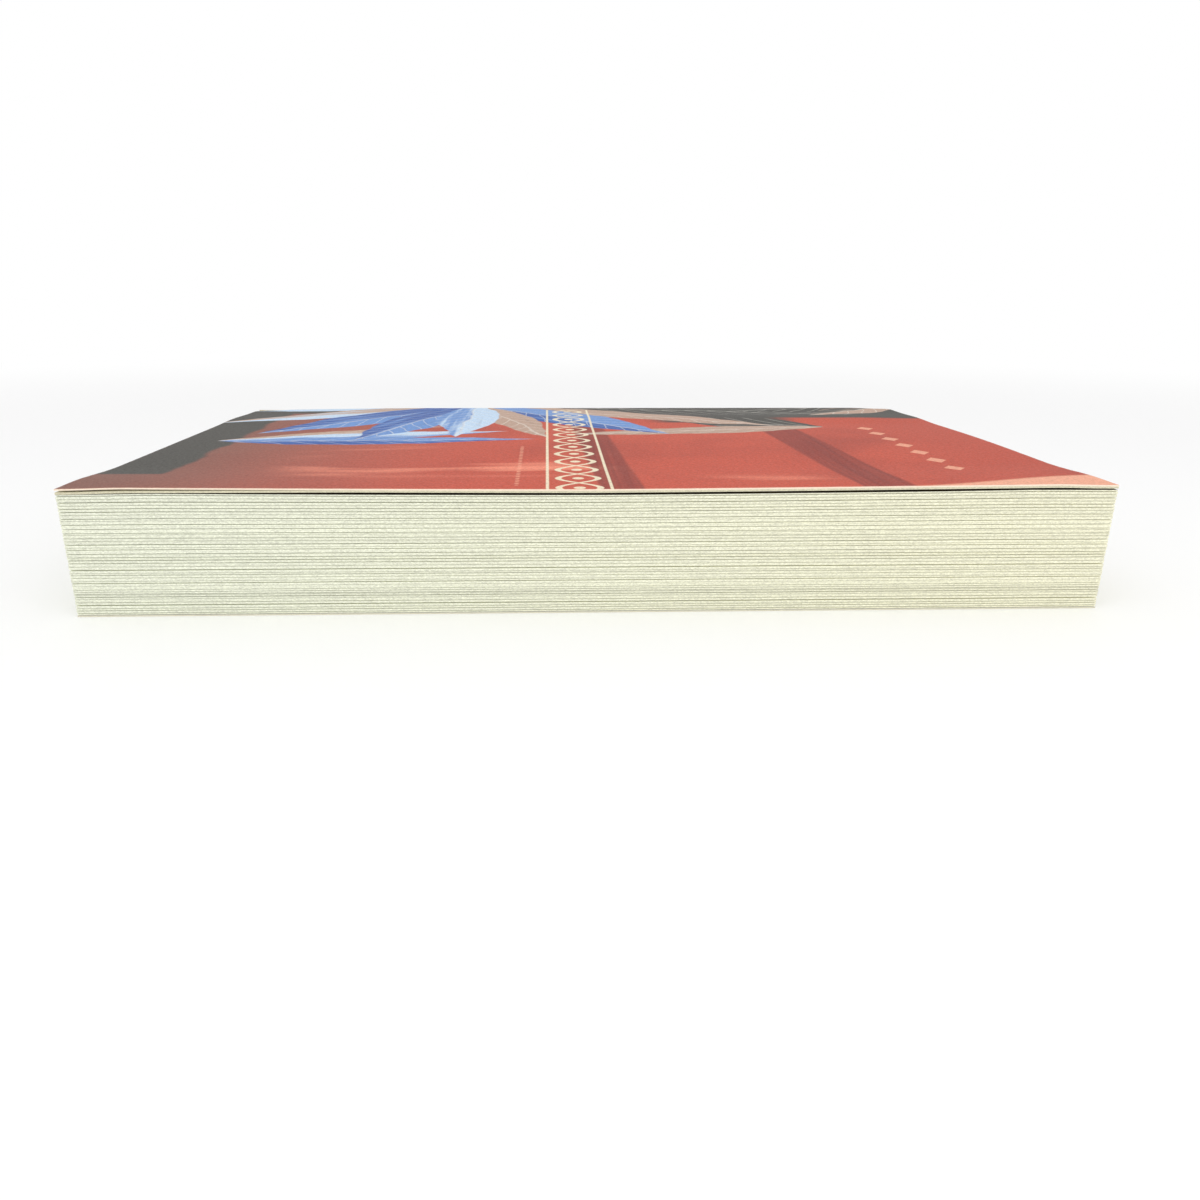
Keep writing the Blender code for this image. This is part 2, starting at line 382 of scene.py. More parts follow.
# Bands of the fore-edge that are darker or paler, as shares of the stack's height, and by how much
GREY_BANDS = ((0.14, 0.20), (0.34, 0.38), (0.62, 0.67))
PALE_BANDS = ((0.09, 0.14), (0.48, 0.51), (0.53, 0.60), (0.955, 1.0))
GREY_TONE = 0.035
PALE_TONE = 0.015

# How much the tones of bundles and of leaves differ, and how much darker a leaf over a wider gap is, as
# painted shade that deepens the gap's dark line
BUNDLE_SPREAD = 0.018
LEAF_SPREAD = 0.014
PARTED_PAINTED_SHADE = 0.06

# Size of the waves in which the cut edges stand back, along the book and up the stack
RAGGED_LENGTH = 0.025
RAGGED_HEIGHT = 0.0011

# Shares of half the length from which the slit narrows toward the head, and from which the first leaves
# hang lower toward the tail
SLIT_NARROWS_FROM = 0.70
TAIL_GAP_FROM = 0.40

# Powers of the height with which three things grow: the leaves' rise along with the cover, the drop of
# leaves and spine where the book is pressed down, and the closing of the slit at the head
RISE_GROWTH = 4
DROP_GROWTH = 3
CLOSE_GROWTH = 8

# The lowest leaf lies a little off the back cover. The leaves above the slit are a pitch apart.
STACK_BOTTOM = 1.1 * CARD
FIRST_PITCH = 0.000142
FIRST_THICKNESS = 0.93 * FIRST_PITCH
FIRST_CLEARANCE = 0.00001
FIRST_TONE_STEP = 0.02
LEAF_POINTS_ALONG = 13
LEAF_POINTS_ACROSS = 4
LEAF_SEED = 11


def stack_top(leaves):
    """Height of the uppermost leaf below the slit, at the middle of the fore-edge."""
    return FORE_TOP - CARD - leaves.slit - leaves.first_count * FIRST_PITCH


def plan_leaves(leaves):
    """Settles each leaf's height, thickness, tone and how far its edge stands back, from the bottom up."""
    chance = random.Random(LEAF_SEED)
    room = stack_top(leaves) - STACK_BOTTOM
    gaps, bundle_tones = [], []
    to_next, tone = 0, 1.0
    wide_at = {round(share * leaves.count): width for share, width in WIDE_GAPS}
    for number in range(leaves.count):
        if number in wide_at:
            gaps.append(leaves.wide * wide_at[number])
            to_next = chance.randint(*LEAVES_AFTER_WIDE)
        elif to_next <= 0:
            gaps.append(leaves.parted * chance.uniform(*PARTED_RANGE))
            to_next = chance.choice(LEAVES_IN_BUNDLE)
        else:
            gaps.append(chance.uniform(leaves.closest, leaves.close))
        if gaps[-1] > leaves.close:
            tone = chance.gauss(1.0, BUNDLE_SPREAD)
        to_next -= 1
        bundle_tones.append(tone)

    thickness = (room - sum(gaps)) / leaves.count
    plan, level = [], STACK_BOTTOM
    for number, (gap, tone) in enumerate(zip(gaps, bundle_tones)):
        level += gap
        share = (level - STACK_BOTTOM) / room
        parted = gap > leaves.close
        tone -= GREY_TONE * sum(low < share < high for low, high in GREY_BANDS)
        tone += PALE_TONE * sum(low < share < high for low, high in PALE_BANDS)
        back = (abs(chance.gauss(0, 0.5)) + 0.5 * parted) * leaves.uneven
        plan.append(
            {
                "level": level + thickness / 2,
                "leaf_thickness": thickness,
                # A leaf over a parted gap is darkened: painted shade for the gap's line
                LEAF_TONE: tone * chance.gauss(1.0, LEAF_SPREAD) * (1 - PARTED_PAINTED_SHADE * parted),
                IN_SLIT: float(number == leaves.count - 1),
                "leaf_back": back,
                "leaf_phase": chance.uniform(0, 100),
            }
        )
        level += thickness
    return plan


def leaf_points(plan):
    """A mesh with one point for each leaf, which carries what is particular to that leaf."""
    mesh = bpy.data.meshes.new("leaf_points")
    middle = (FORE_Y + GLUE_Y) / 2
    mesh.from_pydata([(0, middle, leaf["level"]) for leaf in plan], [], [])
    for name in ("leaf_thickness", "leaf_back", "leaf_phase", LEAF_TONE, IN_SLIT):
        values = [leaf[name] for leaf in plan]
        mesh.attributes.new(name, "FLOAT", "POINT").data.foreach_set("value", values)
    return mesh


def leaf_stack_tree():
    """Geometry nodes that put a flat box of a leaf's length, depth and thickness on each point."""
    tree = bpy.data.node_groups.new("leaf_stack", "GeometryNodeTree")
    inputs = (
        ("Leaves", "NodeSocketGeometry"),
        ("Length", "NodeSocketFloat"),
        ("Depth", "NodeSocketFloat"),
        ("Points along", "NodeSocketInt"),
        ("Points across", "NodeSocketInt"),
        ("Paper", "NodeSocketMaterial"),
    )
    for name, kind in inputs:
        tree.interface.new_socket(name, in_out="INPUT", socket_type=kind)
    tree.interface.new_socket("Leaves", in_out="OUTPUT", socket_type="NodeSocketGeometry")
    wires = Wires(tree)
    given = tree.nodes.new("NodeGroupInput").outputs
    size = wires.add("ShaderNodeCombineXYZ", {"X": given["Length"], "Y": given["Depth"], "Z": 1.0})
    leaf = wires.add(
        "GeometryNodeMeshCube",
        {"Size": size, "Vertices X": given["Points along"], "Vertices Y": given["Points across"]},
    )
    thickness = wires.add("GeometryNodeInputNamedAttribute", {"Name": "leaf_thickness"}, data_type="FLOAT")
    scale = wires.add("ShaderNodeCombineXYZ", {"X": 1.0, "Y": 1.0, "Z": thickness})
    placed = wires.add(
        "GeometryNodeInstanceOnPoints",
        {"Points": given["Leaves"], "Instance": leaf, "Scale": scale},
    )
    real = wires.add("GeometryNodeRealizeInstances", {"Geometry": placed})
    painted = wires.add("GeometryNodeSetMaterial", {"Geometry": real, "Material": given["Paper"]})
    tree.links.new(painted, tree.nodes.new("NodeGroupOutput").inputs[0])
    return tree


def run_tree(piece, tree, values):
    """Gives a piece the result of geometry nodes as its plain mesh."""
    modifier = piece.modifiers.new(tree.name, "NODES")
    modifier.node_group = tree
    for item in tree.interface.items_tree:
        if item.in_out == "INPUT" and item.name in values:
            modifier[item.identifier] = values[item.name]
    evaluated = piece.evaluated_get(bpy.context.evaluated_depsgraph_get())
    result = bpy.data.meshes.new_from_object(evaluated)
    piece.modifiers.clear()
    piece.data = result
    result.name = piece.name


def read_attribute(mesh, name):
    """One value for each point."""
    values = [0.0] * len(mesh.vertices)
    mesh.attributes[name].data.foreach_get("value", values)
    return values


def settle_leaves(mesh, leaves, cover):
    """Moves the even stack of leaves to where they lie in a used book."""
    bottom, top = STACK_BOTTOM, stack_top(leaves)
    first_under = CARD + leaves.first_count * FIRST_PITCH
    swell = (rest_height(GLUE_Y) - first_under) / top
    backs, phases = read_attribute(mesh, "leaf_back"), read_attribute(mesh, "leaf_phase")
    for vertex, back, phase in zip(mesh.vertices, backs, phases):
        x, y, z = vertex.co
        up = (z - bottom) / (top - bottom)
        inward = (y - FORE_Y) / (GLUE_Y - FORE_Y)
        wander = leaves.wave * noise.noise((x / leaves.wave_length, phase, inward))
        ragged = noise.noise((x / RAGGED_LENGTH, y / RAGGED_LENGTH, z / RAGGED_HEIGHT))
        stands_back = back + leaves.uneven * ragged
        by_head = smooth_share((x / HALF_LENGTH - SLIT_NARROWS_FROM) / (1 - SLIT_NARROWS_FROM))
        lift = up**RISE_GROWTH * rise_at(x, y, cover) - up**DROP_GROWTH * drop_at(x, y, cover)
        lift += up**CLOSE_GROWTH * leaves.head_close * by_head
        vertex.co.z = z + (z - bottom) * (swell - 1) * inward + lift + wander
        vertex.co.y = y + stands_back * (1 - inward)
        vertex.co.x = x * (1 - stands_back / HALF_LENGTH)


def first_leaf_top(number, x, y, leaves, cover):
    """Height of one of the first leaves, which lie against the cover but for the tail's corner."""
    toward_tail = smooth_share((-x / HALF_LENGTH - TAIL_GAP_FROM) / (1 - TAIL_GAP_FROM))
    by_fore_edge = smooth_share(1 - (y - FORE_Y) / (2 * cover.corner_reach))
    gap = FIRST_CLEARANCE + leaves.tail_gap * toward_tail * by_fore_edge
    lie = rest_height(y) + rise_at(x, y, cover) - drop_at(x, y, cover)
    return lie - CARD - gap - number * FIRST_PITCH


# Finishes


class Wires:
    """Adds nodes to one tree and joins them. Each method returns an output of the last node it adds."""

    def __init__(self, tree):
        self.tree = tree

    def add(self, kind, inputs=None, output=0, **settings):
        node = self.tree.nodes.new(kind)
        for name, value in settings.items():
            setattr(node, name, value)
        for key, value in (inputs or {}).items():
            if isinstance(value, bpy.types.NodeSocket):
                self.tree.links.new(value, node.inputs[key])
            else:
                node.inputs[key].default_value = value
        return node.outputs[output]

    def math(self, operation, *values):
        return self.add("ShaderNodeMath", dict(enumerate(values)), operation=operation)

    def product(self, *values):
        result = values[0]
        for value in values[1:]:
            result = self.math("MULTIPLY", result, value)
        return result

    def most(self, *values):
        result = values[0]
        for value in values[1:]:
            result = self.math("MAXIMUM", result, value)
        return result

    def vector(self, operation, *values):
        return self.add("ShaderNodeVectorMath", dict(enumerate(values)), operation=operation)

    def scaled(self, vector, share):
        """The vector times a number."""
        result = self.vector("SCALE", vector)
        self.tree.links.new(share, result.node.inputs["Scale"])
        return result

    def parts(self, vector):
        """X, Y and Z of a vector."""
        node = self.tree.nodes.new("ShaderNodeSeparateXYZ")
        self.tree.links.new(vector, node.inputs[0])
        return tuple(node.outputs)

    def distance(self, across, along):
        """Length of the diagonal of two distances."""
        squares = self.math("ADD", self.product(across, across), self.product(along, along))
        return self.math("SQRT", squares)

    def off(self, value, middle):
        """How far the value is from a middle, either way."""
        return self.math("ABSOLUTE", self.math("SUBTRACT", value, middle))

    def smooth(self, value, start, end):
        """0 up to where the value is start and 1 from where it is end, without a kink."""
        span = {"Value": value, "From Min": start, "From Max": end}
        return self.add("ShaderNodeMapRange", span, interpolation_type="SMOOTHSTEP")

    def within(self, value, low, high, soft):
        """1 where the value lies between low and high."""
        rising = self.smooth(value, low - soft, low + soft)
        return self.product(rising, self.smooth(value, high + soft, high - soft))

    def spread(self, value, low, high):
        """Stretches a share between two values."""
        span = {"Value": value, "To Min": low, "To Max": high}
        return self.add("ShaderNodeMapRange", span)

    def mix(self, share, first, second, blend="MIX"):
        settings = {"data_type": "RGBA", "blend_type": blend}
        return self.add("ShaderNodeMix", {0: share, 6: first, 7: second}, output=2, **settings)

    def noise(self, place, scale, detail=2.0):
        return self.add("ShaderNodeTexNoise", {"Vector": place, "Scale": scale, "Detail": detail})

    def wobble(self, place, scale, depth, detail=2.0):
        """Noise round zero."""
        return self.product(self.math("SUBTRACT", self.noise(place, scale, detail), 0.5), depth)

    def lay(self, shade, colour, *shares):
        """Lays a colour over the shade, by the product of the shares."""
        return self.mix(self.product(*shares), shade, opaque(colour))

    def stretched_noise(self, place, scales, detail=2.0):
        """Noise with a scale of its own along X, Y and Z."""
        return self.noise(self.vector("MULTIPLY", place, scales), 1.0, detail)

    def repeat(self, value, period):
        """Distance from the middle of the nearest repeat."""
        share = self.math("FRACT", self.math("DIVIDE", value, period))
        return self.product(self.math("SUBTRACT", share, 0.5), period)


def start_material(name):
    """A material with its wires and its shader."""
    material = bpy.data.materials.new(name)
    material.use_nodes = True
    return material, Wires(material.node_tree), material.node_tree.nodes["Principled BSDF"]


def finish_material(wires, shader, shade, roughness, relief, depth, specular):
    """Joins colour, roughness and relief to the shader."""
    bump = wires.add("ShaderNodeBump", {"Height": relief, "Distance": depth, "Strength": 1.0})
    wires.tree.links.new(shade, shader.inputs["Base Color"])
    wires.tree.links.new(roughness, shader.inputs["Roughness"])
    wires.tree.links.new(bump, shader.inputs["Normal"])
    shader.inputs["Specular IOR Level"].default_value = specular


def opaque(rgb):
    """A colour with its fourth value, as sockets take it."""
    return (*rgb, 1)


# Paper, board and glue: the scales of their noise, how strongly it shows on the leaves' cut edges and on
# their faces, the depth of their relief, the colour and strength of the painted shade in the slit, and the
# colours of the glue
SPECK_SCALES = (2400.0, 2400.0, 5600.0)
EDGE_SPECKS, FIRST_EDGE_SPECKS, FACE_SPECKS = 1.0, 0.8, 0.10
STRAND_SCALES = (260.0, 260.0, 5200.0)
EDGE_STRANDS, FACE_STRANDS = 0.20, 0.04
CLOUD_SCALE = 30.0
FIBRE_SCALE = 2600.0
# Flat faces are this much brighter than cut edges, so the painted shade in the first leaves' edge colour
# stays off their faces
FACE_BRIGHTNESS = 1.14
SLIT_SHADE = 0.95
FLECK_SCALE = 1500.0
RIPPLE_SCALE = 420.0
PAPER_RELIEF = 0.00003
BOARD_RELIEF = 0.00002
GLUE_RELIEF = 0.0002
SLIT_PAINTED_SHADE = ink(74, 58, 20)
GLUE_PALE = ink(226, 214, 180)
GLUE_DARK = ink(206, 190, 150)


def make_paper(name, at_tail, at_head, edge_specks):
    """Uncoated book paper: a colour toward each end, a tone for each leaf, short fibres, and painted shade on
    the faces that look into the slit.
    """
    material, wires, shader = start_material(name)
    place = wires.add("ShaderNodeTexCoord", output="Object")
    x, _, _ = wires.parts(place)
    along = wires.smooth(x, -HALF_LENGTH, HALF_LENGTH)
    shade = wires.mix(along, opaque(at_tail), opaque(at_head))
    tone = wires.add("ShaderNodeAttribute", output="Fac", attribute_name=LEAF_TONE)
    _, _, up = wires.parts(wires.add("ShaderNodeTexCoord", output="Normal"))
    flat = wires.smooth(wires.math("ABSOLUTE", up), 0.5, 0.9)
    speck = wires.math("SUBTRACT", wires.stretched_noise(place, SPECK_SCALES, 3.0), 0.5)
    specks = wires.math("ADD", wires.product(speck, wires.spread(flat, edge_specks, FACE_SPECKS)), 1.0)
    clouds = wires.spread(wires.noise(place, CLOUD_SCALE, 3.0), 0.975, 1.02)
    strand = wires.math("SUBTRACT", wires.stretched_noise(place, STRAND_SCALES), 0.5)
    strands = wires.math("ADD", wires.product(strand, wires.spread(flat, EDGE_STRANDS, FACE_STRANDS)), 1.0)
    # Painted shade: the flat faces of the leaves beside the slit are turned dark brown, for the shade inside
    # the slit
    in_slit = wires.add("ShaderNodeAttribute", output="Fac", attribute_name=IN_SLIT)
    shade = wires.lay(shade, SLIT_PAINTED_SHADE, in_slit, flat, SLIT_SHADE)
    # Faces are brightened over the cut edges, which keep the painted shade in their colour
    brighter_faces = wires.spread(flat, 1.0, FACE_BRIGHTNESS)
    shade = wires.scaled(shade, wires.product(tone, specks, clouds, strands, brighter_faces))
    fibres = wires.noise(place, FIBRE_SCALE, 4.0)
    finish_material(wires, shader, shade, wires.spread(fibres, 0.80, 0.95), fibres, PAPER_RELIEF, 0.2)
    return material


def make_board(name, board):
    """Unprinted card: nearly white, with faint flecks."""
    material, wires, shader = start_material(name)
    place = wires.add("ShaderNodeTexCoord", output="Object")
    flecks = wires.noise(place, FLECK_SCALE, 4.0)
    shade = wires.mix(wires.smooth(flecks, 0.35, 0.75), opaque(board), opaque([0.93 * c for c in board]))
    finish_material(wires, shader, shade, wires.spread(flecks, 0.65, 0.8), flecks, BOARD_RELIEF, 0.25)
    return material


def make_glue_finish():
    """Set hot-melt glue: waxy, with low ripples."""
    material, wires, shader = start_material("binding_glue")
    place = wires.add("ShaderNodeTexCoord", output="Object")
    ripples = wires.noise(place, RIPPLE_SCALE, 3.0)
    shade = wires.mix(ripples, opaque(GLUE_PALE), opaque(GLUE_DARK))
    finish_material(wires, shader, shade, wires.spread(ripples, 0.35, 0.55), ripples, GLUE_RELIEF, 0.4)
    return material


# The printed pattern: sprays of broad leaves over a ground with soft streaks. Each spray has the place
# that it grows from and its leaves: direction in degrees, length, width and two inks.
SPRAYS = (
    (
        (-0.098, -0.004),
        (
            (25, 0.066, 0.011, "beige", "beige"),
            (13, 0.080, 0.012, "pale_blue", "mid_blue"),
            (1, 0.086, 0.014, "mid_blue", "deep_blue"),
        ),
    ),
    (
        (0.072, 0.020),
        (
            (160, 0.050, 0.022, "dark", "dark"),
            (190, 0.080, 0.014, "beige", "beige"),
        ),
    ),
    (
        (-0.034, 0.076),
        (
            (-173, 0.078, 0.020, "pale_blue", "mid_blue"),
            (-12, 0.128, 0.030, "dark", "dark"),
            (-30, 0.108, 0.018, "beige", "beige"),
            (-150, 0.088, 0.020, "pale_blue", "beige"),
            (-50, 0.092, 0.024, "mid_blue", "deep_blue"),
            (-131, 0.088, 0.024, "mid_blue", "deep_blue"),
            (-72, 0.080, 0.016, "beige", "beige"),
            (-110, 0.084, 0.022, "mid_blue", "deep_blue"),
            (-91, 0.074, 0.020, "pale_blue", "mid_blue"),
        ),
    ),
    (
        (0.112, 0.078),
        (
            (-163, 0.066, 0.022, "dark", "dark"),
            (-140, 0.050, 0.018, "beige", "dark"),
        ),
    ),
)


# One drawn leaf: how its middle sways, how soft its outline is, and its ribs
SWAY_SCALE = 55.0
SWAY = 0.006
FULLEST = 0.8
OUTLINE_SOFT = 0.0006
HALVES_SOFT = 0.0004
BRUSH_SCALES = (25.0, 380.0, 1.0)
VEIN_SLANT = 1.4
VEIN_STEP = 0.0075
VEIN_EDGES = (0.00055, 0.0001)
RIB_EDGES = (0.0006, 0.0002)
SHADOW_INK = ink(30, 36, 52)
RIB_INK = ink(240, 236, 226)


def leaf_group():
    """A node group that lays one drawn leaf over the colours under it."""
    tree = bpy.data.node_groups.new("drawn_leaf", "ShaderNodeTree")
    inputs = (
        ("Place", "NodeSocketVector"),
        ("Root", "NodeSocketVector"),
        ("Direction", "NodeSocketFloat"),
        ("Length", "NodeSocketFloat"),
        ("Width", "NodeSocketFloat"),
        ("Light", "NodeSocketColor"),
        ("Dark", "NodeSocketColor"),
        ("Under", "NodeSocketColor"),
    )
    for name, kind in inputs:
        tree.interface.new_socket(name, in_out="INPUT", socket_type=kind)
    tree.interface.new_socket("Shade", in_out="OUTPUT", socket_type="NodeSocketColor")
    wires = Wires(tree)
    given = tree.nodes.new("NodeGroupInput").outputs

    turned = wires.add(
        "ShaderNodeVectorRotate",
        {"Vector": given["Place"], "Center": given["Root"], "Angle": wires.product(given["Direction"], -1.0)},
        rotation_type="Z_AXIS",
    )
    from_root = wires.vector("SUBTRACT", turned, given["Root"])
    along, across, _ = wires.parts(from_root)
    across = wires.math("ADD", across, wires.wobble(given["Place"], SWAY_SCALE, SWAY))
    aside = wires.math("ABSOLUTE", across)
    share = wires.math("DIVIDE", along, given["Length"])
    held = wires.add("ShaderNodeClamp", {"Value": share})
    swelling = wires.math("SINE", wires.product(wires.math("POWER", held, FULLEST), math.pi))
    inside = wires.math("SUBTRACT", wires.product(swelling, given["Width"], 0.5), aside)
    covered = wires.smooth(inside, 0.0, OUTLINE_SOFT)

    halves = wires.smooth(across, -HALVES_SOFT, HALVES_SOFT)
    shade = wires.mix(halves, given["Dark"], given["Light"])
    brushed = wires.stretched_noise(from_root, BRUSH_SCALES, 3.0)
    shade = wires.mix(wires.smooth(brushed, 0.45, 0.75), shade, given["Light"])
    shade = wires.lay(shade, SHADOW_INK, wires.smooth(brushed, 0.42, 0.2), 0.35)
    slant = wires.math("SUBTRACT", along, wires.product(aside, VEIN_SLANT))
    vein = wires.smooth(wires.math("ABSOLUTE", wires.repeat(slant, VEIN_STEP)), *VEIN_EDGES)
    rib = wires.smooth(aside, *RIB_EDGES)
    shade = wires.lay(shade, RIB_INK, wires.most(vein, rib), 0.4)
    result = wires.mix(covered, given["Under"], shade)
    tree.links.new(result, tree.nodes.new("NodeGroupOutput").inputs[0])
    return tree


def lay_spray(wires, group, place, shade, spray, inks):
    """Lays the leaves of one spray over a shade, in their order."""
    root, drawn = spray
    for degrees, reach, width, light, dark in drawn:
        given = {
            "Place": place,
            "Root": (*root, 0),
            "Direction": math.radians(degrees),
            "Length": reach,
            "Width": width,
            "Light": opaque(getattr(inks, light)),
            "Dark": opaque(getattr(inks, dark)),
            "Under": shade,
        }
        shade = wires.add("ShaderNodeGroup", given, node_tree=group)
    return shade


# The ground's fields on the flat sheet. A pair says where an edge starts to fade and where it ends, and
# three values say from where, to where and how softly.
DULL_TO_FULL = (-0.110, -0.020)
HEAD_SHADE = (0.066, 0.104)
GROUND_CLOUDS = 22.0
STREAK_SCALES = (14.0, 75.0, 1.0)
TAIL_STREAKS_X, TAIL_STREAKS_Y = (-0.066, 0.002, 0.010), (-0.054, -0.016, 0.006)
HEAD_STREAKS_X, HEAD_STREAKS_Y = (0.026, 0.048, 0.008), (-0.052, -0.062)
STRIPES = ((-0.0020, 0.0070), (0.052, 0.063))
STRIPE_SLANT = 0.04
STRIPE_SOFT = 0.0006
STRIPE_SCALES = (900.0, 12.0, 1.0)
PEACH_RUN = (0.062, 0.112)
PEACH_WIDTH = 0.0115
PEACH_SOFT = 0.001
RAGGED_SCALE = 60.0
RAGGED = 0.006

# Dark fields by the tail and beside the spine: the edge of each along the book, and across it
DARK_FIELDS = (
    ((-0.0925, -0.0945), (-0.053, -0.051)),
    ((-0.036, -0.044), (0.054, 0.058)),
    ((0.020, 0.034), (0.036, 0.040)),
)
DARK_PATCH_X, DARK_PATCH_Y = (0.024, 0.064, 0.006), (0.028, 0.032)
SPINE_FIELD = (SPINE_Y - 0.004, SPINE_Y + SPINE_HIGH.z + 0.030, 0.0012)


def print_ground(wires, place, inks):
    """The ground: a warm field with streaks and stripes, and a dark one round the tail and the spine."""
    x, y, _ = wires.parts(place)
    shade = wires.mix(wires.smooth(x, *DULL_TO_FULL), opaque(inks.dull_ground), opaque(inks.ground))
    shade = wires.lay(shade, inks.stripe, wires.smooth(x, *HEAD_SHADE), 0.14)
    clouds = wires.noise(place, GROUND_CLOUDS, 3.0)
    shade = wires.lay(shade, inks.stripe, wires.smooth(clouds, 0.45, 0.75), 0.35)

    brushed = wires.stretched_noise(place, STREAK_SCALES)
    by_tail = wires.product(wires.within(x, *TAIL_STREAKS_X), wires.within(y, *TAIL_STREAKS_Y))
    by_head = wires.product(wires.within(x, *HEAD_STREAKS_X), wires.smooth(y, *HEAD_STREAKS_Y))
    in_streaks = wires.most(by_tail, wires.product(by_head, 0.8))
    shade = wires.lay(shade, inks.streak, wires.smooth(brushed, 0.46, 0.62), in_streaks, 0.8)

    slanted = wires.math("ADD", x, wires.product(y, STRIPE_SLANT))
    lines = wires.spread(wires.stretched_noise(place, STRIPE_SCALES), 0.35, 1.0)
    for left, right in STRIPES:
        shade = wires.lay(shade, inks.stripe, wires.within(slanted, left, right, STRIPE_SOFT), lines)
    widening = wires.product(wires.smooth(x, *PEACH_RUN), PEACH_WIDTH)
    peach = wires.smooth(wires.math("SUBTRACT", y, widening), FORE_Y + PEACH_SOFT, FORE_Y - PEACH_SOFT)
    shade = wires.lay(shade, inks.peach, peach, 0.9)

    from_tail = wires.math("ADD", x, wires.wobble(place, RAGGED_SCALE, RAGGED))
    fields = []
    for along, over in DARK_FIELDS:
        fields.append(wires.product(wires.smooth(from_tail, *along), wires.smooth(y, *over)))
    patch = wires.product(wires.within(from_tail, *DARK_PATCH_X), wires.smooth(y, *DARK_PATCH_Y))
    return wires.lay(shade, inks.dark, wires.most(*fields, patch, wires.within(y, *SPINE_FIELD)))


# The ornaments, which run across the front cover: where each stands along the spine and its parts' sizes
BRAID_X = -0.0035
BRAID_END = (CREASE_Y - 0.0005, CREASE_Y - 0.0010)
BRAID_SWING = 0.0043
BRAID_LOOP = 0.0105
STRAND_EDGES = (0.00085, 0.00055)
BEAD_EDGES = (0.0014, 0.0011)
RULE_OFF = 0.0066
RULE_EDGES = (0.00045, 0.0002)
DOTS_X = -0.0165
DOT_STEP = 0.0021
DOT_EDGES = (0.0006, 0.0004)
DOTS_RUN = (-0.066, -0.014)
LOZENGES_X = 0.083
LOZENGE_STEP = 0.0105
LOZENGE_HALF = (0.0026, 0.0034)
LOZENGES_RUN = (-0.0525, 0.021)
SHARP = 0.0001


def lay_ornaments(wires, place, shade, inks):
    """A braided band across the front cover, a dotted line beside it and a row of lozenges by the head."""
    x, y, _ = wires.parts(place)
    on_front = wires.smooth(y, *BRAID_END)
    across = wires.math("SUBTRACT", x, BRAID_X)
    turn = wires.math("SINE", wires.product(y, math.pi / BRAID_LOOP))
    strands = []
    for swing in (BRAID_SWING, -BRAID_SWING):
        strand = wires.product(turn, swing)
        strands.append(wires.smooth(wires.off(across, strand), *STRAND_EDGES))
    beads = wires.smooth(wires.distance(across, wires.repeat(y, BRAID_LOOP)), *BEAD_EDGES)
    rules = wires.smooth(wires.off(wires.math("ABSOLUTE", across), RULE_OFF), *RULE_EDGES)
    shade = wires.lay(shade, inks.cream, wires.most(*strands, beads, rules), on_front, 0.92)

    reach = wires.distance(wires.math("SUBTRACT", x, DOTS_X), wires.repeat(y, DOT_STEP))
    dots = wires.smooth(reach, *DOT_EDGES)
    shade = wires.lay(shade, inks.peach, dots, wires.within(y, *DOTS_RUN, SHARP), 0.7)

    wide = wires.math("DIVIDE", wires.off(x, LOZENGES_X), LOZENGE_HALF[0])
    tall = wires.math("DIVIDE", wires.math("ABSOLUTE", wires.repeat(y, LOZENGE_STEP)), LOZENGE_HALF[1])
    lozenges = wires.smooth(wires.math("ADD", tall, wide), 1.0, 0.9)
    return wires.lay(shade, inks.peach, lozenges, wires.within(y, *LOZENGES_RUN, SHARP), 0.75)


# The printed side: its grain, the rim where it is rubbed pale, and the film over it
GRAIN_SCALE, GRAIN_RANGE = 2600.0, (0.65, 1.35)
MOTTLE_SCALE, MOTTLE_RANGE = 900.0, (0.72, 1.28)
PALE_SCALE, PALE_DEPTH = 1900.0, 0.13
RIM = (0.0007, 0.0001)
RUB_SCALE, RUB_EDGES = 260.0, (0.45, 0.65)
FILM_SCALE = 700.0
FILM_RELIEF = 0.00008
SCORE_WIDTH = 0.0006
WORN_COLOUR = ink(222, 208, 196)


def make_print(name, group, inks):
    """The printed side of the card, under a smooth film that is worn at edges and folds."""
    material, wires, shader = start_material(name)
    place = wires.add("ShaderNodeAttribute", output="Vector", attribute_name=SHEET_PLACE)
    shade = print_ground(wires, place, inks)
    for spray in SPRAYS:
        shade = lay_spray(wires, group, place, shade, spray, inks)
    shade = lay_ornaments(wires, place, shade, inks)

    grain = wires.spread(wires.noise(place, GRAIN_SCALE, 2.0), *GRAIN_RANGE)
    mottle = wires.spread(wires.noise(place, MOTTLE_SCALE, 3.0), *MOTTLE_RANGE)
    shade = wires.scaled(shade, wires.product(grain, mottle))
    pale = wires.wobble(place, PALE_SCALE, PALE_DEPTH, 3.0)
    shade = wires.vector("ADD", shade, wires.add("ShaderNodeCombineXYZ", {"X": pale, "Y": pale, "Z": pale}))

    x, y, _ = wires.parts(place)
    from_end = wires.math("SUBTRACT", HALF_LENGTH, wires.math("ABSOLUTE", x))
    from_fore = wires.math("SUBTRACT", y, FORE_Y)
    nearest = wires.math("MINIMUM", wires.math("MINIMUM", from_end, from_fore), wires.off(y, SPINE_Y))
    patches = wires.smooth(wires.noise(place, RUB_SCALE, 4.0), *RUB_EDGES)
    shade = wires.lay(shade, WORN_COLOUR, wires.smooth(nearest, *RIM), patches, 0.3)

    film = wires.noise(place, FILM_SCALE, 3.0)
    crease = wires.smooth(wires.off(y, CREASE_Y), 0.0, SCORE_WIDTH)
    relief = wires.math("ADD", wires.product(film, 0.08), crease)
    finish_material(wires, shader, shade, wires.spread(film, 0.50, 0.62), relief, FILM_RELIEF, 0.12)
    return material


# Operators


def sizes():
    """The scene's settings for the leaves and for the cover."""
    return bpy.context.scene.paperback_leaves, bpy.context.scene.paperback_cover


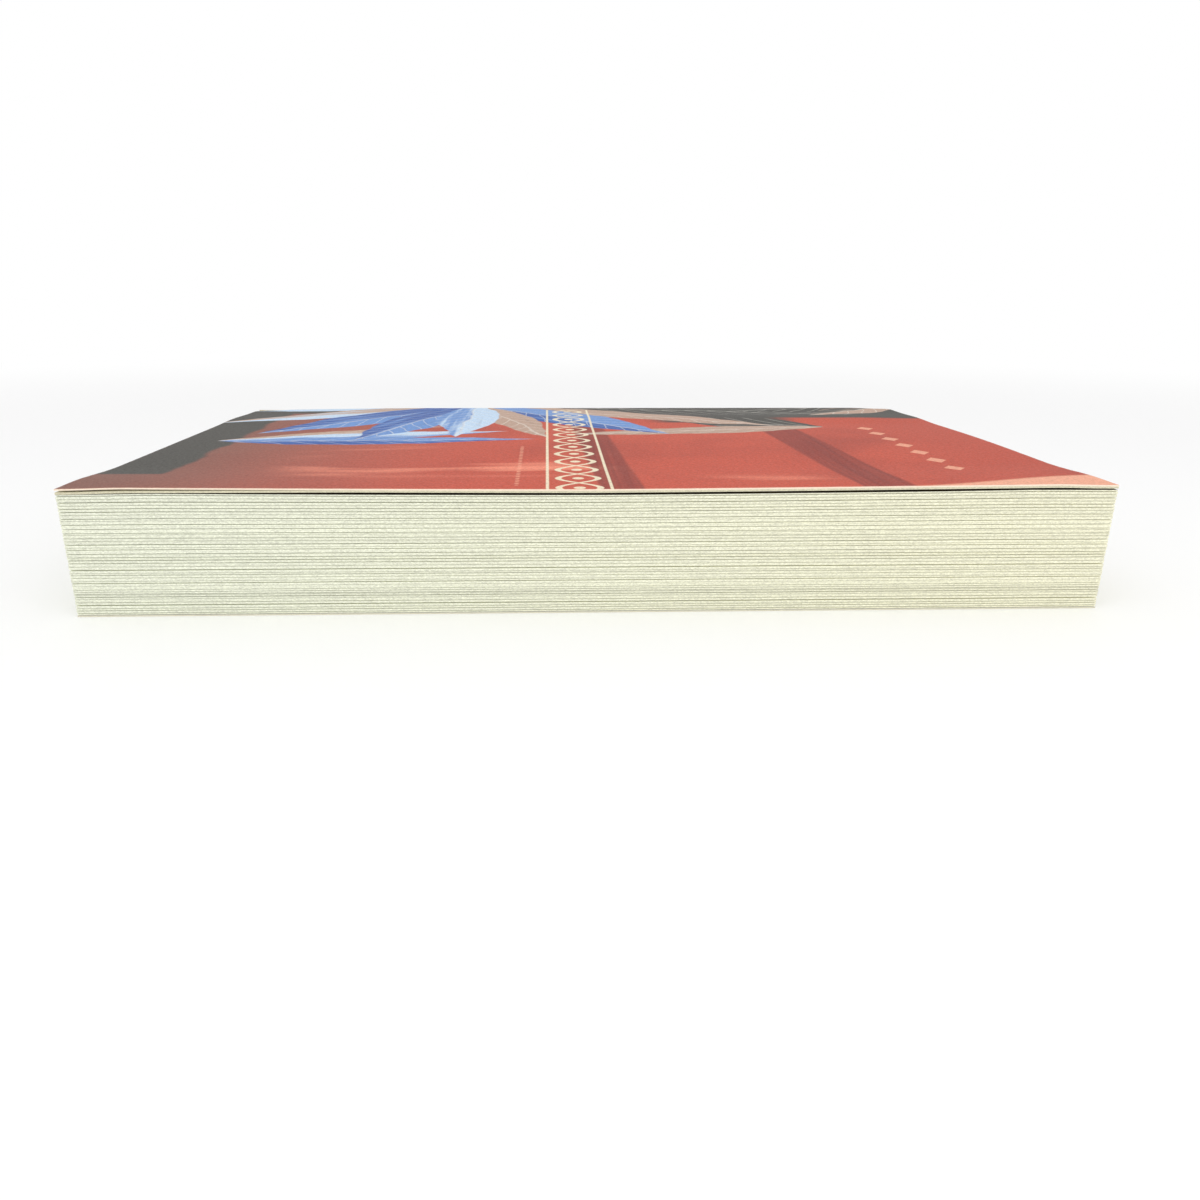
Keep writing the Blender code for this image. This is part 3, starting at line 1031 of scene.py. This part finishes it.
def card_materials(name, edge_colour="grey_shadow_edge"):
    """Print, board and cut edge for one part of the cover."""
    scene = bpy.context.scene
    group = bpy.data.node_groups.get("drawn_leaf") or leaf_group()
    board = bpy.data.materials.get("bare_board") or make_board("bare_board", scene.paperback_cover.board)
    edge = bpy.data.materials.get(edge_colour)
    if edge is None:
        edge = make_board(edge_colour, getattr(scene.paperback_cover, edge_colour))
    return make_print(name, group, scene.paperback_print), board, edge


class PAPERBACK_OT_leaves(bpy.types.Operator):
    """Makes the leaves below the slit, parted into bundles at their cut edges"""

    bl_idname = "paperback.leaves"
    bl_label = "Leaves"

    def execute(self, context):
        leaves, cover = sizes()
        paper = make_paper("leaf_paper", leaves.cool, leaves.warm, EDGE_SPECKS)
        piece = bpy.data.objects.new("leaves", leaf_points(plan_leaves(leaves)))
        piece.data.materials.append(paper)
        context.scene.collection.objects.link(piece)
        values = {
            "Length": 2 * HALF_LENGTH,
            "Depth": GLUE_Y - FORE_Y,
            "Points along": LEAF_POINTS_ALONG,
            "Points across": LEAF_POINTS_ACROSS,
            "Paper": paper,
        }
        run_tree(piece, leaf_stack_tree(), values)
        settle_leaves(piece.data, leaves, cover)
        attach(piece, "bound_leaves")
        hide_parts("page_block")
        return {"FINISHED"}


class PAPERBACK_OT_first_leaves(bpy.types.Operator):
    """Makes the first leaves, which have risen with the front cover"""

    bl_idname = "paperback.first_leaves"
    bl_label = "First leaves"

    def execute(self, context):
        leaves, cover = sizes()
        shape = bmesh.new()
        for name in (LEAF_TONE, IN_SLIT):
            shape.verts.layers.float.new(name)
        columns = spaced(-HALF_LENGTH, HALF_LENGTH, 2 * cover.cell)
        lines = spaced(FORE_Y, GLUE_Y, 2 * cover.cell)
        for number in range(leaves.first_count):
            top = [[(x, y, first_leaf_top(number, x, y, leaves, cover)) for x in columns] for y in lines]
            under = [[(x, y, z - FIRST_THICKNESS) for x, y, z in row] for row in top]
            lowest = number == leaves.first_count - 1
            values = {LEAF_TONE: 1.0 - FIRST_TONE_STEP * (number % 2), IN_SLIT: float(lowest)}
            close_sheet(shape, top, under, values=values, slots=(0, 0, 0))
        # Its colour holds painted shade from under the cover's edge
        paper = make_paper("first_paper", leaves.first, leaves.first, FIRST_EDGE_SPECKS)
        piece = finish_mesh("first_leaves", shape, [paper])
        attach(piece, "bound_leaves")
        return {"FINISHED"}


class PAPERBACK_OT_glue(bpy.types.Operator):
    """Finishes the glue that holds the leaves to the spine"""

    bl_idname = "paperback.glue"
    bl_label = "Glue"

    def execute(self, context):
        node = frame["nodes"]["spine_glue"]
        node.data.materials.clear()
        node.data.materials.append(make_glue_finish())
        return {"FINISHED"}


class PAPERBACK_OT_front_card(bpy.types.Operator):
    """Makes the front cover, which bends at its crease"""

    bl_idname = "paperback.front_card"
    bl_label = "Front cover"

    def execute(self, context):
        _, cover = sizes()

        def height(x, y):
            return rest_height(y) + rise_at(x, y, cover) - drop_at(x, y, cover)

        materials = card_materials("front_cover_print", "cut_edge")
        piece = make_panel("front_card", crease_lines(cover), height, 1, lambda y: y, materials)
        start = Vector((0, CREASE_Y, CREASE_TOP))
        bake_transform(piece, "bound_leaves", "front_cover", start, start - Vector((0, cover.bend_run, 0)))
        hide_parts("front_cover")
        return {"FINISHED"}


class PAPERBACK_OT_back_card(bpy.types.Operator):
    """Makes the back cover, which bends at its crease"""

    bl_idname = "paperback.back_card"
    bl_label = "Back cover"

    def execute(self, context):
        _, cover = sizes()
        last = sheet_distances(spine_path(cover))[-1]

        def sheet_y(y):
            return last + CREASE_Y - y

        # Its cut edge is grey, partly painted shadow where the book meets the floor
        materials = card_materials("back_cover_print")
        piece = make_panel("back_card", crease_lines(cover), lambda x, y: 0.0, -1, sheet_y, materials)
        start = Vector((0, CREASE_Y, 0))
        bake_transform(piece, "bound_leaves", "back_cover", start, start - Vector((0, cover.bend_run, 0)))
        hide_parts("back_cover")
        return {"FINISHED"}


class PAPERBACK_OT_spine_card(bpy.types.Operator):
    """Makes the spine of the cover with its two folds and the strips beside them"""

    bl_idname = "paperback.spine_card"
    bl_label = "Spine"

    def execute(self, context):
        _, cover = sizes()
        path = spine_path(cover)
        top = rest_height(SPINE_Y)
        columns = spaced(-HALF_LENGTH, HALF_LENGTH, cover.cell)
        outer, inner, places = [], [], []
        for (point, way), distance in zip(path, sheet_distances(path)):
            within = point - way * CARD
            rows = []
            for y, z in (point, within):
                pressed = (z / top) ** DROP_GROWTH
                rows.append([(x, y, z - pressed * drop_at(x, y, cover)) for x in columns])
            outer.append(rows[0])
            inner.append(rows[1])
            places.append([(x, distance, 0) for x in columns])
        shape = bmesh.new()
        shape.verts.layers.float_vector.new(SHEET_PLACE)
        close_sheet(shape, outer, inner, places)
        piece = finish_mesh("spine_card", shape, card_materials("spine_print"))
        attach(piece, "bound_leaves")
        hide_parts("cover_spine")
        return {"FINISHED"}


# The studio. The camera stands as the outline of the book in the photograph gives it: its place, and its
# pan, tilt and roll in degrees. The lens is given in pixels of the photograph, and the shift as a share.
KEY_PLACE = (-0.45, -0.55, 0.85)
FILL_PLACE = (0.50, -0.80, 0.45)
LAMP_SIZE = 0.9
FLOOR_RADIUS = 6.0
WHITE_FROM, WHITE_TO = 0.25, 0.90
PHOTO_WIDTH = 1200
LENS_PIXELS = 920.3
LENS_SHIFT = (0.015, 0.015)
NEAREST_SEEN = 0.01
CAMERA_PLACE = (-0.00997, -0.25415, 0.06351)
CAMERA_PAN, CAMERA_TILT, CAMERA_ROLL = -2.157, -19.333, 0.200


class PAPERBACK_OT_stage(bpy.types.Operator):
    """Makes the floor, the lamps, the sky and the camera"""

    bl_idname = "paperback.stage"
    bl_label = "Stage"

    def execute(self, context):
        stage = context.scene.paperback_stage
        lay_floor(stage)
        light_sky(stage)
        hang_lamp("key", KEY_PLACE, stage.key_power)
        hang_lamp("fill", FILL_PLACE, stage.fill_power)
        place_camera()
        context.scene.view_settings.view_transform = "Standard"
        return {"FINISHED"}


def lay_floor(stage):
    """A pale floor that keeps the book's shadow and turns white further off."""
    shape = bmesh.new()
    bmesh.ops.create_circle(shape, cap_ends=True, radius=FLOOR_RADIUS, segments=64)
    material, wires, shader = start_material("floor")
    place = wires.add("ShaderNodeTexCoord", output="Object")
    soft = wires.spread(wires.noise(place, 40.0, 3.0), 0.55, 0.65)
    wires.tree.links.new(soft, shader.inputs["Roughness"])
    shader.inputs["Base Color"].default_value = opaque(stage.floor)
    shader.inputs["Specular IOR Level"].default_value = 0.1
    far = wires.smooth(wires.vector("LENGTH", place).node.outputs["Value"], WHITE_FROM, WHITE_TO)
    seen = wires.add("ShaderNodeLightPath", output="Is Camera Ray")
    white = wires.add("ShaderNodeEmission", {"Color": (1, 1, 1, 1), "Strength": 1.0})
    both = wires.add("ShaderNodeMixShader", {0: wires.product(far, seen), 1: shader.outputs[0], 2: white})
    wires.tree.links.new(both, material.node_tree.nodes["Material Output"].inputs["Surface"])
    floor = finish_mesh("floor", shape, [material])
    fall = Matrix.Rotation(-math.atan(stage.floor_drop / (CREASE_Y - FORE_Y)), 4, "X")
    floor.data.transform(Matrix.Translation((0, FORE_Y, 0)) @ fall)


def light_sky(stage):
    """Even light from all round, and white where the camera sees past the floor."""
    world = bpy.data.worlds.new("studio")
    bpy.context.scene.world = world
    world.use_nodes = True
    wires = Wires(world.node_tree)
    seen = wires.add("ShaderNodeLightPath", output="Is Camera Ray")
    level = wires.math("ADD", wires.product(seen, 1.0 - stage.sky_level), stage.sky_level)
    backdrop = world.node_tree.nodes["Background"]
    backdrop.inputs["Color"].default_value = (1, 1, 1, 1)
    world.node_tree.links.new(level, backdrop.inputs["Strength"])


def hang_lamp(name, place, watts):
    """A large square lamp that looks at the book."""
    lamp = bpy.data.lights.new(name, "AREA")
    lamp.shape = "SQUARE"
    lamp.size = LAMP_SIZE
    lamp.energy = watts
    hung = bpy.data.objects.new(name, lamp)
    hung.location = place
    hung.rotation_euler = (-Vector(place)).to_track_quat("-Z", "Y").to_euler()
    bpy.context.scene.collection.objects.link(hung)


def place_camera():
    """The camera, looking along +Y and down at the book."""
    lens = bpy.data.cameras.new("camera")
    lens.lens = LENS_PIXELS * lens.sensor_width / PHOTO_WIDTH
    lens.shift_x, lens.shift_y = LENS_SHIFT
    lens.clip_start = NEAREST_SEEN
    camera = bpy.data.objects.new("camera", lens)
    panned = Matrix.Rotation(math.radians(CAMERA_PAN), 4, "Z")
    tilted = Matrix.Rotation(math.radians(90 + CAMERA_TILT), 4, "X")
    rolled = Matrix.Rotation(math.radians(CAMERA_ROLL), 4, "Z")
    camera.matrix_world = Matrix.Translation(CAMERA_PLACE) @ panned @ tilted @ rolled
    bpy.context.scene.collection.objects.link(camera)
    bpy.context.scene.camera = camera


class PAPERBACK_PT_panel(bpy.types.Panel):
    """Lists the book's pieces"""

    bl_idname = "PAPERBACK_PT_panel"
    bl_label = "Paperback book"
    bl_space_type = "VIEW_3D"
    bl_region_type = "UI"
    bl_category = "Paperback"

    def draw(self, context):
        for operator in OPERATORS:
            self.layout.operator(operator.bl_idname)
        for name in SETTINGS:
            group = getattr(context.scene, name)
            box = self.layout.box()
            for setting in group.bl_rna.properties.keys():
                if setting not in ("rna_type", "name"):
                    box.prop(group, setting)


OPERATORS = (
    PAPERBACK_OT_leaves,
    PAPERBACK_OT_first_leaves,
    PAPERBACK_OT_glue,
    PAPERBACK_OT_front_card,
    PAPERBACK_OT_back_card,
    PAPERBACK_OT_spine_card,
    PAPERBACK_OT_stage,
)
SETTINGS = {
    "paperback_leaves": PAPERBACK_PG_leaves,
    "paperback_cover": PAPERBACK_PG_cover,
    "paperback_print": PAPERBACK_PG_print,
    "paperback_stage": PAPERBACK_PG_stage,
}
CLASSES = (*SETTINGS.values(), *OPERATORS, PAPERBACK_PT_panel)


def register():
    for item in CLASSES:
        bpy.utils.register_class(item)
    for name, group in SETTINGS.items():
        setattr(bpy.types.Scene, name, PointerProperty(type=group))


def unregister():
    for name in SETTINGS:
        delattr(bpy.types.Scene, name)
    for item in reversed(CLASSES):
        bpy.utils.unregister_class(item)


def main():
    register()
    for operator in OPERATORS:
        group, name = operator.bl_idname.split(".")
        getattr(getattr(bpy.ops, group), name)()


if __name__ == "__main__":
    main()
